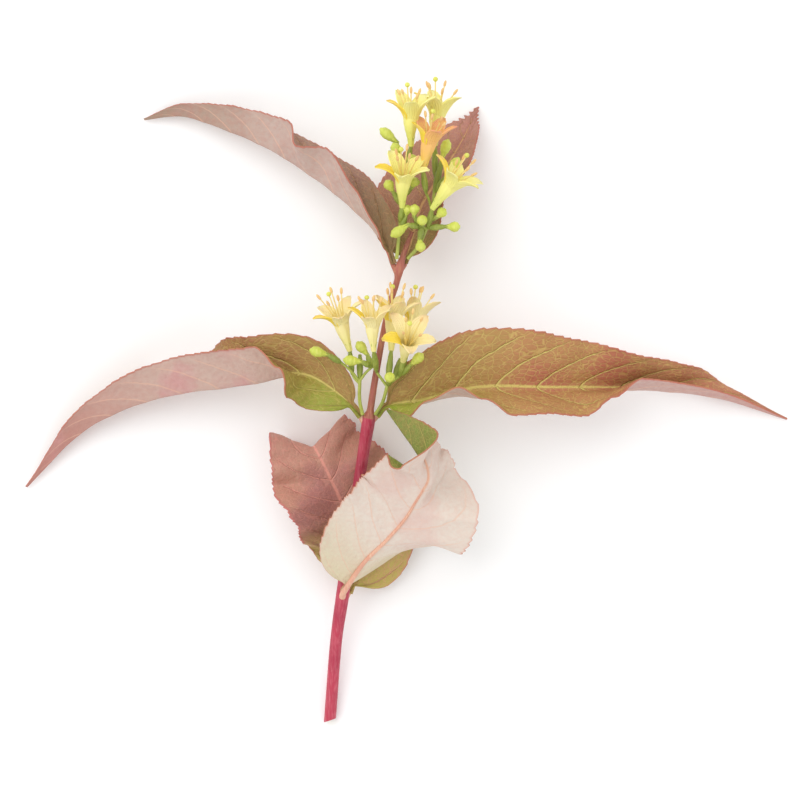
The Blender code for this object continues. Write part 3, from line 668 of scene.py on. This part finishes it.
# %% The node tree for rods
def rod_tree():
    """Geometry Nodes: paths with a radius at each point, as rods with flat ends."""
    tree = bpy.data.node_groups.new("rods", "GeometryNodeTree")
    for label, kind in (("Paths", "Geometry"), ("Sides", "Int"), ("Skin", "Material")):
        tree.interface.new_socket(label, in_out="INPUT", socket_type="NodeSocket" + kind)
    tree.interface.new_socket("Rods", in_out="OUTPUT", socket_type="NodeSocketGeometry")
    make = tree.nodes.new
    join = tree.links.new
    start = make("NodeGroupInput")
    curve = make("GeometryNodeMeshToCurve")
    join(start.outputs["Paths"], curve.inputs[0])
    circle = make("GeometryNodeCurvePrimitiveCircle")
    circle.inputs["Radius"].default_value = 1.0
    join(start.outputs["Sides"], circle.inputs["Resolution"])
    radius = make("GeometryNodeInputNamedAttribute")
    radius.inputs["Name"].default_value = "radius"
    sweep = make("GeometryNodeCurveToMesh")
    sweep.inputs["Fill Caps"].default_value = True
    join(curve.outputs[0], sweep.inputs["Curve"])
    join(circle.outputs[0], sweep.inputs["Profile Curve"])
    join(radius.outputs["Attribute"], sweep.inputs["Scale"])
    realize = make("GeometryNodeRealizeInstances")
    join(sweep.outputs[0], realize.inputs[0])
    skin = make("GeometryNodeSetMaterial")
    join(realize.outputs[0], skin.inputs["Geometry"])
    join(start.outputs["Skin"], skin.inputs["Material"])
    end = make("NodeGroupOutput")
    join(skin.outputs[0], end.inputs[0])
    return tree


rods_tree = rod_tree()
print("node tree for rods:", len(rods_tree.nodes), "nodes")

# %% [markdown]
# A piece of the sprig, such as a flower, is many rods and sheets. They are joined into one object
# that keeps each part's skin and replaces one solid. A boolean union would be cleaner inside, but
# slower, and it wouldn't show.

# %% Rods and pieces
SAME_POINT = 0.000001  # metres
SHARP_ANGLE = math.radians(60)


def set_inputs(modifier, **values):
    """Set a node tree's named inputs on a modifier."""
    for item in modifier.node_group.interface.items_tree:
        if item.in_out == "INPUT" and item.name in values:
            modifier[item.identifier] = values[item.name]


def rods(paths, skin, sides):
    """Rods along paths in metres: each is (points, radii in millimetres)."""
    mesh = bpy.data.meshes.new("paths")
    points = np.concatenate([path for path, _ in paths])
    edges = []
    start = 0
    for path, _ in paths:
        edges += [(start + index, start + index + 1) for index in range(len(path) - 1)]
        start += len(path)
    mesh.from_pydata(points.tolist(), edges, [])
    radius = mesh.attributes.new("radius", "FLOAT", "POINT")
    radius.data.foreach_set("value", np.concatenate([radii for _, radii in paths]) * MM)

    def modify(holder):
        modifier = holder.modifiers.new("rods", "NODES")
        modifier.node_group = rods_tree
        set_inputs(modifier, Sides=sides, Skin=skins[skin])
    return evaluated_mesh(mesh, modify)


def swelling(start, end, radii, count=18):
    """A straight rod whose radius follows a list, eased between its values."""
    share = shares(count)
    points = np.array(start) + (np.array(end) - np.array(start)) * share[:, None]
    return in_place(points), evenly(radii, share)


def join_pieces(name, meshes):
    """One object from several meshes, each keeping its materials."""
    body = bmesh.new()
    materials = []
    for mesh in meshes:
        start = len(body.faces)
        body.from_mesh(mesh)
        body.faces.ensure_lookup_table()
        for face in body.faces[start:]:
            face.material_index += len(materials)
        materials += list(mesh.materials)
    bmesh.ops.remove_doubles(body, verts=body.verts, dist=SAME_POINT)
    whole = bpy.data.meshes.new(name)
    body.to_mesh(whole)
    body.free()
    for material in materials:
        whole.materials.append(material)
    whole.shade_smooth()
    whole.set_sharp_from_angle(angle=SHARP_ANGLE)
    return add_object(name, whole)


print("rod helpers are ready, with", len(skins), "skins")

# %% [markdown]
# The stem: a rod with a swelling at each node and a slanted cut at its foot, where the pale wood
# shows. It turns duller and browner at the middle node. A colour ramp would blur that, so the stem
# is two rods with a skin each.

# %% Stem
SECOND_NODE = 4  # the stem changes colour at this point of its path
STEM_PROUD = 0.05  # the fine stem stands this far outside the solid, in millimetres


def nearest_on_stem(point):
    """The number of the stem's point that lies nearest to a point."""
    return np.argmin(np.linalg.norm(stem_path - np.array(point), axis=1))


def stem_piece():
    """The stem as two rods, with its slanted cut."""
    where = [nearest_on_stem(point) for point in STEM_PATH]
    radii = eased(list(zip(where, STEM_RADII)), np.arange(STEM_POINTS)) + STEM_PROUD
    change = where[SECOND_NODE]
    low = rods([(in_place(stem_path[: change + 1]), radii[: change + 1])], "stem", 28)
    high = rods([(in_place(stem_path[change:]), radii[change:])], "upper_stem", 24)
    body = bmesh.new()
    body.from_mesh(low)
    bmesh.ops.bisect_plane(
        body, geom=body.verts[:] + body.edges[:] + body.faces[:],
        plane_co=in_place(CUT_MIDDLE), plane_no=(math.sin(CUT_SLANT), -math.cos(CUT_SLANT), 0.0),
        clear_outer=True,
    )
    caps = bmesh.ops.holes_fill(body, edges=[edge for edge in body.edges if edge.is_boundary])
    for face in caps["faces"]:
        face.material_index = 1
    body.to_mesh(low)
    body.free()
    low.materials.append(skins["cut"])
    return join_pieces("visual_stem", [low, high])


stem = stem_piece()
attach(stem, "root")
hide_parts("stem")
print("stem", len(stem.data.polygons), "faces")

# %% [markdown]
# The leaves' shape. A real margin waves and has small teeth, and the skin rises between the side
# veins. The blade is a grid whose rows lean toward the tip as those veins do, so all of this is
# added row by row. Sculpting could do it, but not by measure.

# %% The surface of a leaf
LEAF_ROWS = 200
HALF_COLUMNS = 22
FOLD_STEPS = 120  # steps across a half in which a fold is summed up
QUILT = 0.3  # how far the skin rises between side veins, in millimetres
TEETH = 44
TOOTH_DEPTH = 0.035  # share of the half width
WAVES, RIPPLES = 5, 11  # long and short waves along a margin
WAVE_HEIGHT = 0.05  # share of the half width
TORN_FROM = 0.82  # a ragged tip starts at this place along the leaf
NOTCH_BEAT = 95


def blade_width(half_width, powers, place):
    """Half width of a leaf along its length: a narrow stalk, then a pointed oval."""
    base, tip = powers
    along = np.clip((place - STALK_SHARE) / (1 - STALK_SHARE), 0, 1)
    peak = base / (base + tip)
    shape = along ** base * (1 - along) ** tip / (peak ** base * (1 - peak) ** tip)
    return STALK_HALF_WIDTH * (1 - 0.6 * place) + half_width * shape


def half_blade(fold, across):
    """How far a half reaches outward and upward, for folds in radians, in half widths."""
    fine = shares(FOLD_STEPS + 1)
    keel = np.clip(fine / KEEL_SHARE, 0, 1)
    angle = fold[:, None] * (keel * keel * (3 - 2 * keel))[None, :]
    step = fine[1]
    start = np.zeros((len(fold), 1))
    outward = np.cumsum((np.cos(angle[:, 1:]) + np.cos(angle[:, :-1])) / 2 * step, axis=1)
    upward = np.cumsum((np.sin(angle[:, 1:]) + np.sin(angle[:, :-1])) / 2 * step, axis=1)
    pick = np.rint(across * FOLD_STEPS).astype(int)
    return np.hstack([start, outward])[:, pick], np.hstack([start, upward])[:, pick]


def leaf_surface(leaf, phase):
    """Rows of points over a leaf with its waves and teeth, left margin to right, stalk to tip."""
    path = smooth_path(leaf["midrib"], LEAF_ROWS)
    ahead, up, left = frames_along(path, leaf.get("up", UP))
    place = shares(LEAF_ROWS)
    half = shares(HALF_COLUMNS + 1)
    tooth = (place * TEETH + phase) % 1
    fade = np.clip(place / 0.15, 0, 1)
    sides = []
    for name, sign, half_width in zip(("left", "right"), (1, -1), leaf["half_widths"]):
        width = blade_width(half_width, leaf["powers"], place)
        width *= 1 + TOOTH_DEPTH * fade * (tooth - 0.5)
        tear = np.clip((place - TORN_FROM) / 0.1, 0, 1) * np.abs(np.sin(place * NOTCH_BEAT + sign))
        width *= 1 - leaf.get("ragged", 0.0) * tear
        outward, upward = half_blade(np.radians(eased(leaf[name], place)), half)
        wave = np.sin(math.tau * (place * WAVES + phase * sign))
        wave += 0.6 * np.sin(math.tau * (place * RIPPLES + phase))
        upward += WAVE_HEIGHT * (wave * fade)[:, None] * half[None, :] ** 3
        reach = math.cos(ROW_LEAN) * sign * outward[:, :, None] * left[:, None, :]
        rise = upward[:, :, None] * up[:, None, :]
        lean = math.sin(ROW_LEAN) * half[None, :, None] * ahead[:, None, :] * fade[:, None, None]
        sides.append(path[:, None, :] + width[:, None, None] * (reach + rise + lean))
    rows = np.concatenate([sides[0][:, :0:-1], sides[1]], axis=1)
    out = np.concatenate([half[:0:-1], half])
    return rows, out, path, up


def quilted(rows, out):
    """The surface with its skin raised between the side veins."""
    along = np.gradient(rows, axis=0)
    across = np.gradient(rows, axis=1)
    normal = np.cross(across, along)
    normal /= np.maximum(np.linalg.norm(normal, axis=2), 1e-9)[:, :, None]
    place = shares(len(rows))
    beat = (place[:, None] - VEIN_LAG * out[None, :] ** VEIN_BEND) * SIDE_VEINS
    puff = np.abs(np.sin(math.pi * beat)) * np.clip(out * 6, 0, 1)[None, :]
    puff *= np.clip((1 - out) * 5, 0, 1)[None, :] * np.clip((1 - place) * 4, 0, 1)[:, None]
    return rows + QUILT * puff[:, :, None] * normal


print("a leaf is a grid of", LEAF_ROWS, "rows and", 2 * HALF_COLUMNS + 1, "columns")

# %% [markdown]
# The six leaves. Each is its blade and a rib under it, which starts as the leaf's stalk at the
# stem and thins toward the tip. The rib could be painted on, but in life it stands out and
# catches the light.

# %% Leaves
BLADE_THICKNESS = 0.42
FOOT_STEPS = 5  # a leaf's stalk leaves the stem this many points below its node
LOW_STALK = (1.15, "rib")  # radius at the stem and skin
TOP_STALK = (0.8, "upper_stem")
PHASE_STEP = 0.17  # shifts the waves and teeth from leaf to leaf


def rib_rod(name, path, up, along):
    """The rib under a leaf, which goes on as its stalk to the stem."""
    foot_radius, skin = TOP_STALK if "top" in name else LOW_STALK
    thick = np.minimum(0.14 + 0.8 * (1 - along) ** 2.2, foot_radius)
    foot = stem_path[nearest_on_stem(path[0]) - FOOT_STEPS]
    points = np.vstack([foot, path - up * (thick * 0.8)[:, None]])
    return rods([(in_place(points), np.concatenate([[foot_radius], thick]))], skin, 12)


def leaf_piece(name, leaf, phase):
    """A finished leaf: its blade and its raised rib."""
    rows, out, path, up = leaf_surface(leaf, phase)
    rows = quilted(rows, out)
    along = shares(len(rows))
    across_uv, along_uv = np.meshgrid(shares(rows.shape[1]), along)
    blade = grid_mesh(name, in_place(rows), across_uv, along_uv)
    blade = sheet(blade, BLADE_THICKNESS, upper_skins[name], under_skins[name])
    piece = join_pieces("visual_" + name, [blade, rib_rod(name, path, up, along)])
    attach(piece, "root")
    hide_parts(name)
    return piece


for number, (name, leaf) in enumerate(LEAVES.items()):
    piece = leaf_piece(name, leaf, PHASE_STEP * number)
    print(name, len(piece.data.polygons), "faces")

# %% [markdown]
# The cymes: stalks, ovaries and buds are rods that swell and narrow. Round each ovary's top stand
# five thin calyx lobes, which could be left out, but then a flower looks glued on.

# %% Cymes
OVARY_RADII = (0.4, 0.85, 1.0, 0.8, 0.5)
BUD_RADII = (0.45, 0.85, 1.35, 1.6, 1.4, 0.4)
CALYX_LENGTH = 3.2
CALYX_POINTS = 8
STALK_POINTS = 20
BUD_POINTS = 28


def calyx(base, direction):
    """Five thin lobes that stand round the foot of a flower or bud."""
    axis = np.array(direction, float)
    axis /= np.linalg.norm(axis)
    side = np.cross(axis, (0.3, 0.2, 1.0))
    side /= np.linalg.norm(side)
    other = np.cross(axis, side)
    share = shares(CALYX_POINTS)[:, None]
    paths = []
    for lobe in range(LOBES):
        turn = lobe * math.tau / LOBES
        out = side * math.cos(turn) + other * math.sin(turn)
        points = np.array(base) - axis * 0.5
        points = points + out * (0.35 + 0.9 * share ** 1.3) + axis * share * CALYX_LENGTH
        paths.append((in_place(points), np.linspace(0.24, 0.05, CALYX_POINTS)))
    return paths


def stalk_rod(path, first, last):
    """A stalk's points, and its radius from first to last."""
    return in_place(smooth_path(path, STALK_POINTS)), np.linspace(first, last, STALK_POINTS)


def cyme_piece(name):
    """One branched stalk with its ovaries, buds and calyx lobes."""
    stalks = [stalk_rod(*stalk) for stalk in STALKS[name]]
    ovaries = [swelling(foot, top, OVARY_RADII) for foot, top in BARE_OVARIES.get(name, [])]
    sepals = []
    all_buds = BUDS[name] + SMALL_BUDS.get(name, [])
    for foot, neck, tip in all_buds:
        ovaries.append(swelling(foot, neck, OVARY_RADII))
        sepals += calyx(neck, np.subtract(tip, neck))
    for carrier, foot, base, direction, *_ in FLOWERS.values():
        if carrier == name:
            ovaries.append(swelling(foot, base, OVARY_RADII))
            sepals += calyx(base, direction)
    buds = [swelling(neck, tip, BUD_RADII, BUD_POINTS) for _, neck, tip in all_buds]
    meshes = [rods(stalks, "stalk", 12), rods(ovaries, "ovary", 14), rods(sepals, "stalk", 6)]
    meshes.append(rods(buds, "bud", 16))
    piece = join_pieces("visual_" + name, meshes)
    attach(piece, "root")
    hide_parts(name)
    return piece


for name in STALKS:
    piece = cyme_piece(name)
    print(name, len(piece.data.polygons), "faces")

# %% [markdown]
# The parts of a flower: a tube that flares into five lobes, which bend back and curl a little,
# and threads that stand out of the throat. Each is built round +Z and turned afterwards, because
# in its final place every formula would need its angles.

# %% The parts of a flower
TUBE_RADII = (0.6, 0.75, 1.0, 1.35, 1.65, 1.85)
TUBE_SHARE = 0.45  # the tube's share of a petal's length in the UV map
LOBE_HALF_WIDTHS = (1.25, 1.75, 1.95, 1.85, 1.35, 0.4)
FIRST_BEND = math.radians(8)  # how far a lobe leans outward where it leaves the tube
RIM_OVERLAP = 0.4
THROAT_DEPTH = 1.5  # the threads start this far inside the tube


def outward_at(turn):
    """The direction away from the flower's axis at an angle round it."""
    return np.array([math.cos(turn), math.sin(turn), 0.0])


def tube_sheet():
    """The corolla's tube as a rolled grid, a little fuller on one side."""
    share = shares(16)
    radius = evenly(TUBE_RADII, share)
    turn = np.linspace(0, math.tau, 31)
    full = 1 + 0.1 * np.cos(turn)[None, :] * np.sin(math.pi * share)[:, None]
    x = radius[:, None] * full * np.cos(turn)
    y = radius[:, None] * full * np.sin(turn)
    z = np.repeat((share * TUBE_LENGTH)[:, None], len(turn), axis=1)
    across, along = np.meshgrid(shares(len(turn)), share * TUBE_SHARE)
    return np.dstack([x, y, z]), across, along


def lobe_sheet(turn, bend, length):
    """One lobe as a grid: it leaves the rim, bends outward and curls at its edges."""
    share = shares(18)
    cross = np.linspace(-1, 1, 9)
    angle = FIRST_BEND + (bend - FIRST_BEND) * share ** 0.8
    step = length / (len(share) - 1)
    out = TUBE_RADII[-1] - 0.12 + np.concatenate([[0], np.cumsum(np.sin(angle[1:]) * step)])
    rise = np.concatenate([[0], np.cumsum(np.cos(angle[1:]) * step)]) + TUBE_LENGTH - RIM_OVERLAP
    width = evenly(LOBE_HALF_WIDTHS, share)
    radial = outward_at(turn)
    inward = np.cos(angle)[:, None] * -radial + np.sin(angle)[:, None] * UP
    curl = (0.28 + 0.1 * share)[:, None] * width[:, None] * cross[None, :] ** 2
    middle = out[:, None] * radial + rise[:, None] * UP
    points = middle[:, None, :] + (width[:, None] * cross)[:, :, None] * np.cross(UP, radial)
    points = points + curl[:, :, None] * inward[:, None, :]
    across, along = np.meshgrid((cross + 1) / 2, TUBE_SHARE + (1 - TUBE_SHARE) * share)
    return points, across, along


def thread(turn, spread, length):
    """A bent thread from the throat outward."""
    share = shares(16)[:, None]
    height = TUBE_LENGTH - THROAT_DEPTH + (length + THROAT_DEPTH) * share
    return outward_at(turn) * (0.7 + spread * share ** 1.5) + UP * height


print("a lobe is", LOBE_LENGTH, "mm long and", 2 * max(LOBE_HALF_WIDTHS), "mm wide")

# %% [markdown]
# The ten flowers. The lobe that guides insects is a deeper yellow. Five stamens and a long style
# with a round stigma stand out of the throat. No two lobes on a real flower are alike, so a random
# generator varies them, with a fixed seed that gives the same flowers again.

# %% Flowers
PETAL_THICKNESS = 0.24
FULLNESS = 1.1  # the fine flowers are a little fuller than the solids
OLD_FLOWERS = ("flower_top_3",)
STYLE_RADIUS = 0.2
THREAD_RADII = (0.22, 0.15)  # at the foot and at the anther
STAMEN_SPREADS = (0.8, 3.4)  # least and most, in millimetres
STAMEN_LENGTHS = (5.4, 7.4)
LOBE_STRETCH = (0.94, 1.08)  # least and most, as factors of the usual length and bend
BEND_STRETCH = (0.85, 1.2)
ANTHER_HALF_LENGTH = 0.9
ANTHER_RADII = np.array([0.1, 0.3, 0.4, 0.42, 0.42, 0.42, 0.38, 0.28, 0.1])
LONG_STAMENS = 1.2  # the lower flowers' stamens are longer by this factor
random = np.random.default_rng(11)


def stigma_rod(end):
    """The round end of a style, as points and radii."""
    ball = np.linspace(-1, 1, 11)
    radii = STIGMA_RADIUS * np.sqrt(np.clip(1 - ball ** 2, 0.02, 1))
    return end + UP * (ball * 0.6)[:, None], radii


def stamen(placed, turn, size, stretch):
    """A stamen's thread and its anther, as two rods."""
    spread = random.uniform(*STAMEN_SPREADS)
    path = thread(turn, spread, random.uniform(*STAMEN_LENGTHS) * stretch)
    end = path[-1] - path[-2]
    end /= np.linalg.norm(end)
    reaches = np.linspace(-ANTHER_HALF_LENGTH, ANTHER_HALF_LENGTH, len(ANTHER_RADII))
    anther = placed(path[-1] + end * reaches[:, None])
    return (placed(path), np.linspace(*THREAD_RADII, len(path)) * size), (anther, ANTHER_RADII)


def flower_piece(name, flower):
    """A finished flower, turned and moved to its ovary."""
    _, _, base, direction, turn, size, bend = flower
    size = size * FULLNESS
    spin = Quaternion(UP, math.radians(turn))
    rotation = np.array((Vector(direction).to_track_quat("Z", "Y") @ spin).to_matrix())

    def placed(points):
        return in_place(points * size @ rotation.T + np.array(base))

    def petal_sheet(made, skin):
        points, across, along = made
        return sheet(grid_mesh(name, placed(points), across, along), PETAL_THICKNESS, skin, skin)

    fresh = "lemon" if "top" in name else "cream"
    petal = petal_skins["peach" if name in OLD_FLOWERS else fresh]
    stretch = 1.0 if "top" in name else LONG_STAMENS
    meshes = [petal_sheet(tube_sheet(), petal)]
    threads = []
    anthers = []
    for lobe in range(LOBES):
        azimuth = lobe * math.tau / LOBES
        reach = LOBE_LENGTH * random.uniform(*LOBE_STRETCH)
        angle = math.radians(bend * random.uniform(*BEND_STRETCH))
        skin = petal_skins["gold"] if lobe == 0 else petal
        meshes.append(petal_sheet(lobe_sheet(azimuth, angle, reach), skin))
        filament, anther = stamen(placed, azimuth + math.pi / LOBES, size, stretch)
        threads.append(filament)
        anthers.append(anther)
    style = thread(0.4, 0.5, STYLE_LENGTH - 0.7)
    threads.append((placed(style), np.full(len(style), STYLE_RADIUS)))
    stigma, radii = stigma_rod(style[-1])
    meshes.append(rods(threads, "thread", 8))
    meshes.append(rods(anthers, "anther", 10))
    meshes.append(rods([(placed(stigma), radii)], "stigma", 16))
    piece = join_pieces("visual_" + name, meshes)
    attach(piece, "root")
    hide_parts(name)
    return piece


for name, flower in FLOWERS.items():
    piece = flower_piece(name, flower)
print("flower", len(piece.data.polygons), "faces each")

# %% [markdown]
# The photograph is taken from above, on pure white. A white floor, an even bright sky and one wide
# soft light from the upper left come near it, with faint shadows that it doesn't have. A camera
# far off with a long lens shows the leaves without perspective.

# %% Floor, light and camera
FLOOR_REACH = 1.0
FLOOR_WHITE = 0.97
VIEW_HEIGHT = 2.0
PICTURE_WIDTH = 0.240
SENSOR = 36.0
MIDDLE_HEIGHT = 0.02
SUN_STRENGTH = 0.95
SUN_WIDTH = math.radians(50)
SUN_LEAN = (math.radians(-24), math.radians(-26), 0.0)


def add_floor():
    """A plain pale floor."""
    mesh = bpy.data.meshes.new("floor")
    far = FLOOR_REACH
    corners = [(-far, -far, 0), (far, -far, 0), (far, far, 0), (-far, far, 0)]
    mesh.from_pydata(corners, [], [(0, 1, 2, 3)])
    material = bpy.data.materials.new("floor")
    material.use_nodes = True
    shader = material.node_tree.nodes["Principled BSDF"]
    shader.inputs["Base Color"].default_value = (*[FLOOR_WHITE] * 3, 1.0)
    shader.inputs["Roughness"].default_value = 0.9
    mesh.materials.append(material)
    floor = add_object("floor", mesh)


def add_light():
    """A white sky and one wide soft sun."""
    world = bpy.data.worlds.new("sky")
    world.use_nodes = True
    sky = world.node_tree.nodes["Background"]
    sky.inputs["Color"].default_value = (1, 1, 1, 1)
    sky.inputs["Strength"].default_value = 1.0
    bpy.context.scene.world = world
    sun = bpy.data.lights.new("softbox", "SUN")
    sun.energy = SUN_STRENGTH
    sun.angle = SUN_WIDTH
    lamp = add_object("softbox", sun)
    lamp.rotation_euler = SUN_LEAN


def add_camera():
    """A long lens that looks straight down."""
    data = bpy.data.cameras.new("camera")
    data.sensor_width = SENSOR
    data.lens = SENSOR * VIEW_HEIGHT / PICTURE_WIDTH
    camera = add_object("camera", data)
    camera.location = (CENTRE[0] * MM, CENTRE[1] * MM, VIEW_HEIGHT + MIDDLE_HEIGHT)
    bpy.context.scene.camera = camera


add_floor()
add_light()
add_camera()
bpy.context.scene.view_settings.view_transform = "Standard"
print("the camera looks down from", VIEW_HEIGHT, "m")
